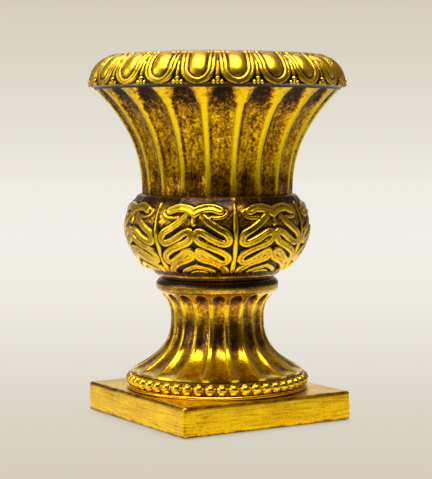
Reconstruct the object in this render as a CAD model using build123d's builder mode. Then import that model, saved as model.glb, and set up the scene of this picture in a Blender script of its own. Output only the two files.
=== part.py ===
from build123d import *
import os
from math import cos, pi, radians, sin

# A gilt campana urn: a square plinth, a fluted trumpet foot with a ring of beads, a plain
# collar, a leafy bowl, a fluted bell and an egg-and-dart rim. The castings register in each
# other and one threaded rod clamps the plinth, foot, collar and bowl together.
# Millimetres, +Z up, origin at the centre of the underside.

# ---- driving dimensions ----
felt_inset = 7.0           # from the plinth's sides in to the felt
felt_thick = 0.8

plinth_margin = 4.05       # from the ring of beads out to the plinth's sides
plinth_thick = 24.2
plinth_corner_r = 3.0
plinth_edge_r = 2.0
nut_pocket_clear = 1.0     # radial clearance round the lower washer
nut_pocket_depth = 14.0

flute_count = 19
flute_angle = 3.8          # the angle of the first rib between two flutes, from +X

foot_height = 80.5
foot_flange_r = 66.8       # the cylinder that the bead ring goes round
foot_edge_over = 4.2       # how far the trumpet's lower edge stands out over the flange
foot_waist_r = 38.9
foot_waist_drop = 21.0     # from the top of the foot down to its waist
foot_top_r = 49.0
foot_edge_thick = 2.0
foot_wall = 5.0
foot_flare_power = 2.8
foot_neck_power = 2.3
foot_rib_wide = 3.0
foot_flute_deep = 1.4

bead_count = 48
bead_angle = 1.1
bead_r = 4.5
bead_base_thick = 4.5
bead_base_lip = 1.0        # how far the base ring stands out past the bead centres' circle
bead_back_thick = 3.4
bead_sink = 0.5            # how deep each bead sits in its base ring

collar_height = 12.5
collar_bulge_r = 51.0
collar_seat_r = 46.8       # the groove where the bowl stands on the collar
collar_spigot_len = 5.0
collar_boss_r = 30.0
collar_boss_len = 3.0

bowl_height = 68.0
bowl_belly_r = 77.9
bowl_belly_up = 40.0       # from the bottom of the bowl to its widest place
bowl_wall = 4.5
bowl_floor = 8.0

bell_height = 87.0
bell_foot_r = 62.3
bell_lip_r = 100.6
bell_lip_thick = 2.0
bell_wall = 4.0
bell_flare_power = 2.3
bell_spigot_len = 6.0
bell_spigot_wall = 3.0
bell_rib_wide = 4.0
bell_flute_deep = 1.8

rim_height = 27.0
rim_lip_over = 6.2         # how far the rim stands out past the bell's lip
rim_skirt_len = 2.5
rim_skirt_thick = 1.2
rim_lip_up = 1.5           # from the seat on the bell up to the sharp edge of the lip
rim_crest_wide = 6.0       # from the mouth out to the crest, where the eggs begin
mouth_r = 72.0
mouth_land = 7.0
mouth_edge_r = 2.5
egg_count = 21
egg_angle = 6.8
egg_r = 12.0
egg_rise = 2.5

rod_r = 4.0
rod_below_nut = 2.5
rod_above_nut = 4.0
nut_across_flats = 13.0
nut_thick = 6.8
washer_r = 12.0
washer_thick = 1.6
seal_r = 14.0
seal_thick = 2.0

# ---- fits ----
register_fit = 0.15        # radial clearance where one casting enters another
rod_hole_clear = 0.5       # radial clearance of the rod in the castings
thread_clear = 0.05        # a nut's bore stands this far off the plain rod
seat_clear = 0.1           # axial clearance that leaves the load on one face of a joint
ring_clear = 0.2           # the bead ring is trapped loosely under the trumpet's edge

# ---- levels, from the bottom up ----
z_plinth = felt_thick
z_foot = z_plinth + plinth_thick
z_collar = z_foot + foot_height
z_bowl = z_collar + collar_height
z_bell = z_bowl + bowl_height
z_rim = z_bell + bell_height
z_top = z_rim + rim_height
z_waist = z_collar - foot_waist_drop
z_belly = z_bowl + bowl_belly_up
z_bowl_floor = z_bowl + bowl_floor
z_pocket = z_plinth + nut_pocket_depth
rod_hole_r = rod_r + rod_hole_clear

# ---- places that several pieces share ----
foot_bore_r = foot_waist_r - foot_wall
foot_edge_r = foot_flange_r + foot_edge_over
ring_inner_r = foot_flange_r + register_fit
bead_circle_r = ring_inner_r + bead_r
plinth_side = 2 * (bead_circle_r + bead_r + plinth_margin)
felt_side = plinth_side - 2 * felt_inset
nut_pocket_r = washer_r + nut_pocket_clear
z_bead = z_foot + bead_base_thick + bead_r - bead_sink
z_ring_top = z_bead + bead_r
z_foot_edge = z_ring_top + ring_clear
bowl_mouth_r = bell_foot_r - bowl_wall
rim_lip_r = bell_lip_r + rim_lip_over
rim_crest_r = mouth_r + rim_crest_wide
z_bowl_rod_end = z_bowl_floor + seal_thick + washer_thick + nut_thick + rod_above_nut
z_lower_nut = z_pocket - washer_thick - nut_thick

curve_steps = 6
rib_sink = 1.5             # how deep a rib's root lies in the wall, so that it fuses with it


def span(start, end, share):
    return start + (end - start) * share


def flare(r_small, r_large, z_small, z_large, power, hollow=0.0, first=0.0, last=1.0):
    """Points of a flared side, sunk by the depth of its flutes in the middle."""
    points = []
    for step in range(curve_steps + 1):
        share = span(first, last, step / curve_steps)
        radius = span(r_small, r_large, share**power) - hollow * sin(pi * share)
        points.append((radius, span(z_small, z_large, share)))
    return points


def raised(points, rise):
    """The crest of a rib: it starts and ends under the surface and stands proud between."""
    crest = []
    for step, (radius, height) in enumerate(points):
        lift = (rise + rib_sink / 2) * sin(pi * step / curve_steps) - rib_sink / 2
        crest.append((radius + lift, height))
    return crest


def root(points):
    """The foot of a rib, inside the wall that it stands on."""
    return [(radius - rib_sink, height) for radius, height in points]


os.makedirs("parts", exist_ok=True)


# ---- felt under the plinth, pierced for the nut pocket ----
with BuildPart() as base_felt:
    with BuildSketch(Plane.XY):
        RectangleRounded(felt_side, felt_side, plinth_corner_r)
        Circle(nut_pocket_r, mode=Mode.SUBTRACT)
    extrude(amount=felt_thick)
base_felt.part.label = "base_felt"
export_step(base_felt.part, "parts/base_felt.step")


# ---- plinth: a cast slab with a pocket for the lower nut ----
with BuildPart() as plinth:
    with BuildSketch(Plane.XY.offset(z_plinth)):
        RectangleRounded(plinth_side, plinth_side, plinth_corner_r)
    extrude(amount=plinth_thick)
    fillet(plinth.faces().sort_by(Axis.Z)[-1].edges(), plinth_edge_r)
    with BuildSketch(Plane.XY.offset(z_plinth)):
        Circle(nut_pocket_r)
    extrude(amount=nut_pocket_depth, mode=Mode.SUBTRACT)
    with BuildSketch(Plane.XY.offset(z_pocket)):
        Circle(rod_hole_r)
    extrude(amount=z_foot - z_pocket, mode=Mode.SUBTRACT)
plinth.part.label = "plinth"
export_step(plinth.part, "parts/plinth.step")


# ---- foot: a hollow fluted trumpet that narrows to a waist ----
foot_flare = flare(foot_waist_r, foot_edge_r, z_waist, z_foot_edge + foot_edge_thick,
                   foot_flare_power, foot_flute_deep)
foot_neck = flare(foot_waist_r, foot_top_r, z_waist, z_collar, foot_neck_power)
foot_side = foot_flare[::-1] + foot_neck[2:]
foot_rib = flare(foot_waist_r, foot_edge_r, z_waist, z_foot_edge + foot_edge_thick,
                 foot_flare_power, foot_flute_deep, last=0.93)
foot_inner_edge_r = foot_flange_r - foot_wall
foot_cove = flare(foot_bore_r, foot_inner_edge_r, span(z_waist, z_foot, 0.25), z_foot_edge - foot_edge_thick,
                  foot_flare_power / 2)
with BuildPart() as foot:
    with BuildSketch(Plane.XZ):
        with BuildLine():
            Polyline((foot_inner_edge_r, z_foot), (foot_flange_r, z_foot), (foot_flange_r, z_foot_edge),
                     (foot_edge_r, z_foot_edge), foot_side[0])
            Spline(*foot_side)
            Polyline(foot_side[-1], (foot_bore_r, z_collar), foot_cove[0])
            Spline(*foot_cove)
            Line(foot_cove[-1], (foot_inner_edge_r, z_foot))
        make_face()
    revolve(axis=Axis.Z)
    for index in range(flute_count):
        with BuildSketch(Plane.XZ.rotated((0, 0, flute_angle + index * 360 / flute_count))):
            with BuildLine():
                Spline(*root(foot_rib))
                Line(root(foot_rib)[-1], raised(foot_rib, foot_flute_deep)[-1])
                Spline(*raised(foot_rib, foot_flute_deep)[::-1])
                Line(raised(foot_rib, foot_flute_deep)[0], root(foot_rib)[0])
            make_face()
        extrude(amount=foot_rib_wide / 2, both=True)
foot.part.label = "foot"
export_step(foot.part, "parts/foot.step")


# ---- bead ring: a ring of beads round the foot's flange, trapped under the trumpet's edge ----
with BuildPart() as foot_bead_ring:
    with BuildSketch(Plane.XY.offset(z_foot)):
        Circle(bead_circle_r + bead_r - bead_base_lip)
        Circle(ring_inner_r, mode=Mode.SUBTRACT)
    extrude(amount=bead_base_thick)
    with BuildSketch(Plane.XY.offset(z_foot)):
        Circle(ring_inner_r + bead_back_thick)
        Circle(ring_inner_r, mode=Mode.SUBTRACT)
    extrude(amount=z_ring_top - z_foot)
    with Locations(Plane.XY.offset(z_bead)):
        with PolarLocations(bead_circle_r, bead_count, start_angle=bead_angle):
            Sphere(bead_r)
    with BuildSketch(Plane.XY.offset(z_foot)):
        Circle(ring_inner_r)
    extrude(amount=z_ring_top - z_foot, mode=Mode.SUBTRACT)
foot_bead_ring.part.label = "foot_bead_ring"
export_step(foot_bead_ring.part, "parts/foot_bead_ring.step")


# ---- collar: a plain torus, with a spigot in the foot's neck and a boss in the bowl ----
z_bulge = span(z_collar, z_bowl, 0.35)
with BuildPart() as collar:
    with BuildSketch(Plane.XZ):
        with BuildLine():
            Polyline((rod_hole_r, z_bowl + collar_boss_len), (rod_hole_r, z_collar - collar_spigot_len),
                     (foot_bore_r - register_fit, z_collar - collar_spigot_len),
                     (foot_bore_r - register_fit, z_collar), (foot_top_r, z_collar))
            ThreePointArc((foot_top_r, z_collar), (collar_bulge_r, z_bulge), (collar_seat_r, z_bowl))
            Polyline((collar_seat_r, z_bowl), (collar_boss_r, z_bowl),
                     (collar_boss_r, z_bowl + collar_boss_len), (rod_hole_r, z_bowl + collar_boss_len))
        make_face()
    revolve(axis=Axis.Z)
collar.part.label = "collar"
export_step(collar.part, "parts/collar.step")


# ---- bowl: the deep cup under the bell, its floor clamped by the rod ----
bowl_side = [
    (collar_seat_r, z_bowl),
    (span(collar_seat_r, bowl_belly_r, 0.57), span(z_bowl, z_belly, 0.30)),
    (span(collar_seat_r, bowl_belly_r, 0.87), span(z_bowl, z_belly, 0.62)),
    (bowl_belly_r, z_belly),
    (span(bell_foot_r, bowl_belly_r, 0.72), span(z_bell, z_belly, 0.48)),
    (bell_foot_r, z_bell),
]
bowl_inner = [
    (collar_seat_r - bowl_wall, z_bowl_floor),
    (span(collar_seat_r, bowl_belly_r, 0.87) - bowl_wall, span(z_bowl_floor, z_belly, 0.5)),
    (bowl_belly_r - bowl_wall, z_belly),
    (bowl_mouth_r, z_bell - bell_spigot_len - seat_clear),
]
with BuildPart() as bowl:
    with BuildSketch(Plane.XZ):
        with BuildLine():
            Polyline((rod_hole_r, z_bowl_floor), (rod_hole_r, z_bowl + collar_boss_len + seat_clear),
                     (collar_boss_r + register_fit, z_bowl + collar_boss_len + seat_clear),
                     (collar_boss_r + register_fit, z_bowl), bowl_side[0])
            Spline(*bowl_side)
            Polyline(bowl_side[-1], (bowl_mouth_r, z_bell), bowl_inner[-1])
            Spline(*bowl_inner[::-1])
            Line(bowl_inner[0], (rod_hole_r, z_bowl_floor))
        make_face()
    revolve(axis=Axis.Z)
bowl.part.label = "bowl"
export_step(bowl.part, "parts/bowl.step")


# ---- bell: the fluted flare, with a spigot in the bowl's mouth ----
z_bell_lip = z_rim - bell_lip_thick
spigot_r = bowl_mouth_r - register_fit
spigot_bore_r = spigot_r - bell_spigot_wall
bell_side = flare(bell_foot_r, bell_lip_r, z_bell, z_bell_lip, bell_flare_power, bell_flute_deep)
bell_inner = flare(spigot_bore_r, bell_lip_r - bell_wall, z_bell, z_bell_lip, bell_flare_power,
                   bell_flute_deep)
bell_rib = flare(bell_foot_r, bell_lip_r, z_bell, z_bell_lip, bell_flare_power, bell_flute_deep,
                 first=0.12, last=0.95)
with BuildPart() as bell:
    with BuildSketch(Plane.XZ):
        with BuildLine():
            Spline(*bell_side)
            Polyline(bell_side[-1], (bell_lip_r, z_rim), (bell_lip_r - bell_wall, z_rim), bell_inner[-1])
            Spline(*bell_inner[::-1])
            Polyline(bell_inner[0], (spigot_bore_r, z_bell - bell_spigot_len),
                     (spigot_r, z_bell - bell_spigot_len), (spigot_r, z_bell), bell_side[0])
        make_face()
    revolve(axis=Axis.Z)
    for index in range(flute_count):
        with BuildSketch(Plane.XZ.rotated((0, 0, flute_angle + index * 360 / flute_count))):
            with BuildLine():
                Spline(*root(bell_rib))
                Line(root(bell_rib)[-1], raised(bell_rib, bell_flute_deep)[-1])
                Spline(*raised(bell_rib, bell_flute_deep)[::-1])
                Line(raised(bell_rib, bell_flute_deep)[0], root(bell_rib)[0])
            make_face()
        extrude(amount=bell_rib_wide / 2, both=True)
bell.part.label = "bell"
export_step(bell.part, "parts/bell.step")


# ---- rim: an ovolo with eggs, whose skirt drops over the bell's lip ----
z_lip = z_rim + rim_lip_up
z_skirt = z_rim - rim_skirt_len
z_land = z_top - mouth_edge_r - mouth_land
skirt_r = bell_lip_r + register_fit
rim_bore_r = bell_lip_r - bell_wall
ovolo_wide = rim_lip_r - rim_crest_r
ovolo_high = z_top - z_lip
egg_lean = radians(45)
egg_circle_r = rim_crest_r + (ovolo_wide - egg_r + egg_rise) * cos(egg_lean)
z_egg = z_lip + (ovolo_high - egg_r + egg_rise) * sin(egg_lean)
with BuildPart() as rim:
    with BuildSketch(Plane.XZ):
        with BuildLine():
            Polyline((mouth_r, z_top - mouth_edge_r), (mouth_r, z_skirt),
                     (skirt_r + rim_skirt_thick, z_skirt), (rim_lip_r, z_lip))
            EllipticalCenterArc((rim_crest_r, z_lip), ovolo_wide, ovolo_high, arc_size=90)
            Line((rim_crest_r, z_top), (mouth_r + mouth_edge_r, z_top))
            RadiusArc((mouth_r + mouth_edge_r, z_top), (mouth_r, z_top - mouth_edge_r), -mouth_edge_r)
        make_face()
    revolve(axis=Axis.Z)
    with Locations(Plane.XY.offset(z_egg)):
        with PolarLocations(egg_circle_r, egg_count, start_angle=egg_angle):
            Sphere(egg_r)
    with BuildSketch(Plane.XZ):
        with BuildLine():
            Polyline((0, z_land), (0, z_skirt - egg_r), (skirt_r, z_skirt - egg_r), (skirt_r, z_rim),
                     (rim_bore_r, z_rim))
            EllipticalCenterArc((mouth_r, z_rim), rim_bore_r - mouth_r, z_land - z_rim, arc_size=90)
            Line((mouth_r, z_land), (0, z_land))
        make_face()
    revolve(axis=Axis.Z, mode=Mode.SUBTRACT)
rim.part.label = "rim"
export_step(rim.part, "parts/rim.step")


# ---- the clamp: a threaded rod, a nut and washer below, a seal, washer and nut above ----
with BuildPart() as tie_rod:
    with BuildSketch(Plane.XY.offset(z_lower_nut - rod_below_nut)):
        Circle(rod_r)
    extrude(amount=z_bowl_rod_end - z_lower_nut + rod_below_nut)
    chamfer(tie_rod.edges().group_by(Axis.Z)[0] + tie_rod.edges().group_by(Axis.Z)[-1], rod_r / 5)
tie_rod.part.label = "tie_rod"
export_step(tie_rod.part, "parts/tie_rod.step")


def washer(name, z_bottom, radius, thick):
    with BuildPart() as ring:
        with BuildSketch(Plane.XY.offset(z_bottom)):
            Circle(radius)
            Circle(rod_r + thread_clear, mode=Mode.SUBTRACT)
        extrude(amount=thick)
    ring.part.label = name
    export_step(ring.part, f"parts/{name}.step")


def nut(name, z_bottom):
    with BuildPart() as hexagon:
        with BuildSketch(Plane.XY.offset(z_bottom)):
            RegularPolygon(nut_across_flats / 2, 6, major_radius=False)
            Circle(rod_r + thread_clear, mode=Mode.SUBTRACT)
        extrude(amount=nut_thick)
        chamfer(hexagon.edges().filter_by(GeomType.LINE).filter_by(Axis.Z, reverse=True), 0.6)
    hexagon.part.label = name
    export_step(hexagon.part, f"parts/{name}.step")


washer("lower_washer", z_pocket - washer_thick, washer_r, washer_thick)
nut("lower_nut", z_lower_nut)
washer("rubber_seal", z_bowl_floor, seal_r, seal_thick)
washer("upper_washer", z_bowl_floor + seal_thick, washer_r, washer_thick)
nut("upper_nut", z_bowl_floor + seal_thick + washer_thick)
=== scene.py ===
import math

import bmesh
import bpy
import numpy as np
from mathutils import Euler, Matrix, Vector, noise


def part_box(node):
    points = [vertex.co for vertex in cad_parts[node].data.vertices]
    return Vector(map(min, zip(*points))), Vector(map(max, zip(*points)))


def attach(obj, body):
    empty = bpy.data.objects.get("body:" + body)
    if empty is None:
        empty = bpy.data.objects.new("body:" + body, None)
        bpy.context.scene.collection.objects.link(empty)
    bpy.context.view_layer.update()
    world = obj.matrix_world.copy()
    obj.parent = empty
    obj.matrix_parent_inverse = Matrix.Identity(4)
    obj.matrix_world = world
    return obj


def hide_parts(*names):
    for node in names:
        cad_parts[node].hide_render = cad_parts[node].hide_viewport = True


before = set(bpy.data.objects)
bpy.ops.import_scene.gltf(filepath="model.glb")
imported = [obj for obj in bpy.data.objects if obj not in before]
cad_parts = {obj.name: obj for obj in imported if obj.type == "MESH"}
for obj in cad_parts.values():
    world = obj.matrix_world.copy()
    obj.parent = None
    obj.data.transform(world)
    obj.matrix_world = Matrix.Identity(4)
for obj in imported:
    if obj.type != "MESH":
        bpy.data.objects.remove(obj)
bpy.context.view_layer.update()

mm = 0.001


def newPiece(name, data):
    piece = bpy.data.objects.new(name, data)
    bpy.context.collection.objects.link(piece)
    return piece


# metres and degrees, measured from the middle of the plinth's underside
cameraSetup = {
    "turn": -31.94,                           # round the urn, from the plinth's -Y side
    "distance": 1.3146,
    "height": 0.2374,
    "aside": 0.001,
    "pitch": 3.93,                            # below level
    "lens": 119.3, "sensor": 36,              # millimetres
    "farthest": 50,
}


def makeCamera(setup):
    data = bpy.data.cameras.new("camera")
    data.lens = setup["lens"]
    data.sensor_width = setup["sensor"]
    data.clip_end = setup["farthest"]
    camera = newPiece("camera", data)
    turn = math.radians(setup["turn"])
    place = Vector((-setup["aside"], -setup["distance"], setup["height"]))
    place.rotate(Euler((0, 0, turn)))
    camera.location = place
    camera.rotation_euler = (math.radians(90 - setup["pitch"]), 0, turn)
    bpy.context.scene.camera = camera


makeCamera(cameraSetup)
print("camera placed")


def ramp(value, low, high):
    # 0 below low, 1 above high, smooth between
    share = np.clip((value - low) / (high - low), 0, 1)
    return share * share * (3 - 2 * share)


def evenly(points, count):
    # the same outline, walked in equal steps
    points = np.array(points, float)
    gaps = np.linalg.norm(np.diff(points, axis=0), axis=1)
    walked = np.concatenate([[0], np.cumsum(gaps)])
    stops = np.linspace(0, walked[-1], count)
    return np.column_stack([np.interp(stops, walked, points[:, axis]) for axis in range(2)])


def curveThrough(points, perSpan=12):
    # a smooth curve through a few points (Catmull-Rom)
    points = np.array(points, float)
    padded = np.vstack([2 * points[0] - points[1], points, 2 * points[-1] - points[-2]])
    share = np.linspace(0, 1, perSpan, endpoint=False)[:, None]
    spans = []
    for before, start, end, after in zip(padded, padded[1:], padded[2:], padded[3:]):
        spans.append(0.5 * (2 * start + (end - before) * share
                            + (2 * before - 5 * start + 4 * end - after) * share**2
                            + (3 * start - before - 3 * end + after) * share**3))
    return np.vstack(spans + [points[-1:]])


def quarterEllipse(centre, wide, high, first, last, steps=60):
    angles = np.radians(np.linspace(first, last, steps))
    return np.column_stack([centre[0] + wide * np.cos(angles), centre[1] + high * np.sin(angles)])


def dome(distance, reach):
    # a round-topped bump: 1 in the middle, 0 at its reach
    return np.sqrt(np.clip(1 - (distance / reach) ** 2, 0, 1))


def toPath(x, y, path):
    # distance from every grid point to a drawn path
    nearest = np.full(x.shape, 1e9)
    for start, end in zip(path, path[1:]):
        step = end - start
        share = np.clip(((x - start[0]) * step[0] + (y - start[1]) * step[1]) / (step @ step), 0, 1)
        gap = np.hypot(x - start[0] - share * step[0], y - start[1] - share * step[1])
        nearest = np.minimum(nearest, gap)
    return nearest


def blurred(field, reach):
    # local average: the last column of a bay is its first again, and rows stop at the ends
    span = 2 * reach + 1
    around = sum(np.roll(field[:-1], shift, axis=0) for shift in range(-reach, reach + 1))
    around = np.vstack([around, around[:1]]) / span
    padded = np.pad(around, ((0, 0), (reach, reach)), mode="edge")
    return sum(padded[:, shift:shift + field.shape[1]] for shift in range(span)) / span


def storeFields(mesh, fields):
    # a number for every vertex, which the gilding reads by name
    for name, values in fields.items():
        layer = mesh.attributes.new(name, "FLOAT", "POINT")
        layer.data.foreach_set("value", values)


def shadeSmooth(mesh):
    mesh.polygons.foreach_set("use_smooth", [True] * len(mesh.polygons))


carving = {
    "liftSpan": 3.7 * mm,                     # this far under the highest point, lift has come down to 0
    "pitSpan": 0.6 * mm,                      # a dip this deep counts as a full pit
    "pitReach": 3,                            # steps of the grid to each side
    "sharpAbove": 62,                         # degrees between faces
}


# One bay of a turned piece. Its cross-section is a closed outline of (radius, height) points, and
# relief(angles, rows) gives how far the first rows stand out and how sooty they are.
def makeBay(name, outline, reliefRows, columns, count, relief):
    tangent = np.roll(outline, -1, axis=0) - np.roll(outline, 1, axis=0)
    tangent[0] = outline[1] - outline[0]
    tangent[reliefRows - 1] = outline[reliefRows - 1] - outline[reliefRows - 2]
    tangent /= np.linalg.norm(tangent, axis=1)[:, None]
    angles = np.linspace(-180 / count, 180 / count, columns + 1)[:, None]
    walked = np.concatenate([[0], np.cumsum(np.linalg.norm(np.diff(outline, axis=0), axis=1))])
    rows = {
        "radius": outline[None, :reliefRows, 0],
        "height": outline[None, :reliefRows, 1],
        "walked": walked[None, :reliefRows],
    }
    rise, patinaAndShade = relief(angles, rows)
    rise = rise + np.zeros((columns + 1, reliefRows))
    size = len(outline)
    lift, pit, out = (np.zeros((columns + 1, size)) for _ in range(3))
    # rows past the relief, inside and underneath, are fully darkened
    patinaAndShadeRows = np.ones((columns + 1, size))
    high = rise.max()
    low = max(rise.min(), high - carving["liftSpan"])
    lift[:, :reliefRows] = np.clip((rise - low) / max(high - low, 1e-9), 0, 1)
    pit[:, :reliefRows] = np.clip((blurred(rise, carving["pitReach"]) - rise) / carving["pitSpan"], -1, 1)
    patinaAndShadeRows[:, :reliefRows] = patinaAndShade
    out[:, :reliefRows] = rise
    radius = outline[None, :, 0] + out * tangent[None, :, 1]
    height = outline[None, :, 1] - out * tangent[None, :, 0]
    turn = np.radians(angles)
    points = np.stack([radius * np.cos(turn), radius * np.sin(turn), height + 0 * turn], axis=-1)
    faces = []
    for column in range(columns):
        for row in range(size):
            up = (row + 1) % size
            left, right = column * size, (column + 1) * size
            faces.append((left + row, right + row, right + up, left + up))
    mesh = bpy.data.meshes.new(name)
    mesh.from_pydata(points.reshape(-1, 3).tolist(), [], faces)
    storeFields(mesh, {"lift": lift.reshape(-1), "pit": pit.reshape(-1), "patinaAndShade": patinaAndShadeRows.reshape(-1)})
    return newPiece(name, mesh)


def feed(tree, socket, value):
    # value is another node's output or a plain value
    if hasattr(value, "is_linked"):
        tree.links.new(value, socket)
    else:
        socket.default_value = value


def mixColours(tree, factor, first, second):
    node = tree.nodes.new("ShaderNodeMix")
    node.data_type = "RGBA"
    for place, value in ((0, factor), (6, first), (7, second)):
        feed(tree, node.inputs[place], value)
    return node.outputs[2]


def calculate(tree, operation, *values, clamp=False):
    node = tree.nodes.new("ShaderNodeMath")
    node.operation = operation
    node.use_clamp = clamp
    for socket, value in zip(node.inputs, values):
        feed(tree, socket, value)
    return node.outputs[0]


def rescale(tree, value, fromLow, fromHigh, toLow, toHigh):
    node = tree.nodes.new("ShaderNodeMapRange")
    node.interpolation_type = "SMOOTHSTEP"
    tree.links.new(value, node.inputs["Value"])
    limits = {"From Min": fromLow, "From Max": fromHigh, "To Min": toLow, "To Max": toHigh}
    for label, number in limits.items():
        node.inputs[label].default_value = number
    return node.outputs["Result"]


def rampOf(tree, value, stops, ease="LINEAR"):
    # a colour ramp: stops are (place, colour) pairs, from 0 to 1
    node = tree.nodes.new("ShaderNodeValToRGB")
    node.color_ramp.interpolation = ease
    while len(node.color_ramp.elements) < len(stops):
        node.color_ramp.elements.new(1.0)
    for element, (place, colour) in zip(node.color_ramp.elements, stops):
        element.position = place
        element.color = colour
    tree.links.new(value, node.inputs[0])
    return node.outputs[0]


def newMaterial(name):
    material = bpy.data.materials.new(name)
    material.use_nodes = True
    tree = material.node_tree
    return material, tree, tree.nodes["Principled BSDF"]


def addBump(tree, shader, height, strength, depth):
    bump = tree.nodes.new("ShaderNodeBump")
    bump.inputs["Strength"].default_value = strength
    bump.inputs["Distance"].default_value = depth
    tree.links.new(height, bump.inputs["Height"])
    tree.links.new(bump.outputs[0], shader.inputs["Normal"])


# geometry nodes that repeat a bay round the urn's axis and weld the copies
def makeRepeatTree():
    tree = bpy.data.node_groups.new("repeatRoundAxis", "GeometryNodeTree")
    face = tree.interface
    face.new_socket("Geometry", in_out="INPUT", socket_type="NodeSocketGeometry")
    for label, kind, value in (
        ("Count", "NodeSocketInt", 12),
        ("First Angle", "NodeSocketFloat", 0.0),
        ("Weld Gap", "NodeSocketFloat", 0.02 * mm),
        ("Wobble", "NodeSocketFloat", 0.2 * mm),
        ("Wobble Scale", "NodeSocketFloat", 22.0),
        ("Ripple", "NodeSocketFloat", 0.04 * mm),
        ("Ripple Scale", "NodeSocketFloat", 160.0),
    ):
        socket = face.new_socket(label, in_out="INPUT", socket_type=kind)
        socket.default_value = value
    face.new_socket("Material", in_out="INPUT", socket_type="NodeSocketMaterial")
    face.new_socket("Geometry", in_out="OUTPUT", socket_type="NodeSocketGeometry")
    nodes, links = tree.nodes, tree.links
    given = nodes.new("NodeGroupInput")
    result = nodes.new("NodeGroupOutput")

    points = nodes.new("GeometryNodePoints")
    links.new(given.outputs["Count"], points.inputs["Count"])
    index = nodes.new("GeometryNodeInputIndex")
    step = calculate(tree, "DIVIDE", math.tau, given.outputs["Count"])
    turn = calculate(tree, "MULTIPLY_ADD", index.outputs[0], step, given.outputs["First Angle"])
    spin = nodes.new("ShaderNodeCombineXYZ")
    links.new(turn, spin.inputs["Z"])
    toRotation = nodes.new("FunctionNodeEulerToRotation")
    links.new(spin.outputs[0], toRotation.inputs[0])
    instance = nodes.new("GeometryNodeInstanceOnPoints")
    links.new(points.outputs[0], instance.inputs["Points"])
    links.new(given.outputs["Geometry"], instance.inputs["Instance"])
    links.new(toRotation.outputs[0], instance.inputs["Rotation"])
    realize = nodes.new("GeometryNodeRealizeInstances")
    links.new(instance.outputs[0], realize.inputs[0])
    weld = nodes.new("GeometryNodeMergeByDistance")
    links.new(realize.outputs[0], weld.inputs["Geometry"])
    links.new(given.outputs["Weld Gap"], weld.inputs["Distance"])

    # two noises move the surface a little, so that no two bays are quite alike
    shape = weld.outputs[0]
    position = nodes.new("GeometryNodeInputPosition")
    for size, scale in (("Wobble", "Wobble Scale"), ("Ripple", "Ripple Scale")):
        field = nodes.new("ShaderNodeTexNoise")
        field.noise_dimensions = "3D"
        field.inputs["Detail"].default_value = 2
        links.new(position.outputs[0], field.inputs["Vector"])
        links.new(given.outputs[scale], field.inputs["Scale"])
        centred = nodes.new("ShaderNodeVectorMath")
        centred.operation = "SUBTRACT"
        centred.inputs[1].default_value = (0.5, 0.5, 0.5)
        links.new(field.outputs["Color"], centred.inputs[0])
        scaled = nodes.new("ShaderNodeVectorMath")
        scaled.operation = "SCALE"
        links.new(centred.outputs[0], scaled.inputs[0])
        links.new(given.outputs[size], scaled.inputs["Scale"])
        move = nodes.new("GeometryNodeSetPosition")
        links.new(shape, move.inputs["Geometry"])
        links.new(scaled.outputs[0], move.inputs["Offset"])
        shape = move.outputs[0]
    smooth = nodes.new("GeometryNodeSetShadeSmooth")
    links.new(shape, smooth.inputs[0])
    paint = nodes.new("GeometryNodeSetMaterial")
    links.new(smooth.outputs[0], paint.inputs[0])
    links.new(given.outputs["Material"], paint.inputs["Material"])
    links.new(paint.outputs[0], result.inputs[0])
    return tree


repeatTree = makeRepeatTree()
socketOf = {item.name: item.identifier for item in repeatTree.interface.items_tree if item.in_out == "INPUT"}
# which value of a piece's dictionary goes to which input of the tree
repeatKeys = {"Count": "count", "First Angle": "firstAngle", "Wobble": "wobble", "Ripple": "ripple"}


def repeatBay(bay, name, material, spec):
    modifier = bay.modifiers.new("repeat", "NODES")
    modifier.node_group = repeatTree
    for label, key in repeatKeys.items():
        modifier[socketOf[label]] = spec[key]
    modifier[socketOf["Material"]] = material
    bpy.context.view_layer.update()
    graph = bpy.context.evaluated_depsgraph_get()
    mesh = bpy.data.meshes.new_from_object(bay.evaluated_get(graph))
    mesh.name = name
    mesh.set_sharp_from_angle(angle=math.radians(carving["sharpAbove"]))
    bpy.data.objects.remove(bay)
    return newPiece(name, mesh)


def turnedPiece(name, spec, shape, relief, material):
    outline, reliefRows = shape
    bay = makeBay(name + "Bay", outline, reliefRows, spec["columns"], spec["count"], relief)
    return repeatBay(bay, name, material, spec)


def grainField(tree, scale, stretch=(1, 1, 1), detail=4, rough=0.55):
    # noise on object coordinates; a small stretch value draws it out along that axis
    where = tree.nodes.new("ShaderNodeTexCoord")
    mapping = tree.nodes.new("ShaderNodeMapping")
    mapping.inputs["Scale"].default_value = stretch
    field = tree.nodes.new("ShaderNodeTexNoise")
    field.inputs["Scale"].default_value = scale
    field.inputs["Detail"].default_value = detail
    field.inputs["Roughness"].default_value = rough
    tree.links.new(where.outputs["Object"], mapping.inputs[0])
    tree.links.new(mapping.outputs[0], field.inputs["Vector"])
    return field.outputs["Fac"]


def stored(tree, name):
    node = tree.nodes.new("ShaderNodeAttribute")
    node.attribute_name = name
    return node.outputs["Fac"]


def srgb(red, green, blue):
    def toLinear(value):
        value /= 255
        return value / 12.92 if value <= 0.04045 else ((value + 0.055) / 1.055) ** 2.4
    return (toLinear(red), toLinear(green), toLinear(blue), 1)


# from bare bright leaf, by amber and umber, to the patina where the leaf is gone
giltTones = (
    (0.0, srgb(255, 221, 12)),
    (0.22, srgb(240, 189, 3)),
    (0.45, srgb(171, 121, 2)),
    (0.68, srgb(90, 55, 1)),
    (0.92, srgb(34, 20, 3)),
)
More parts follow.
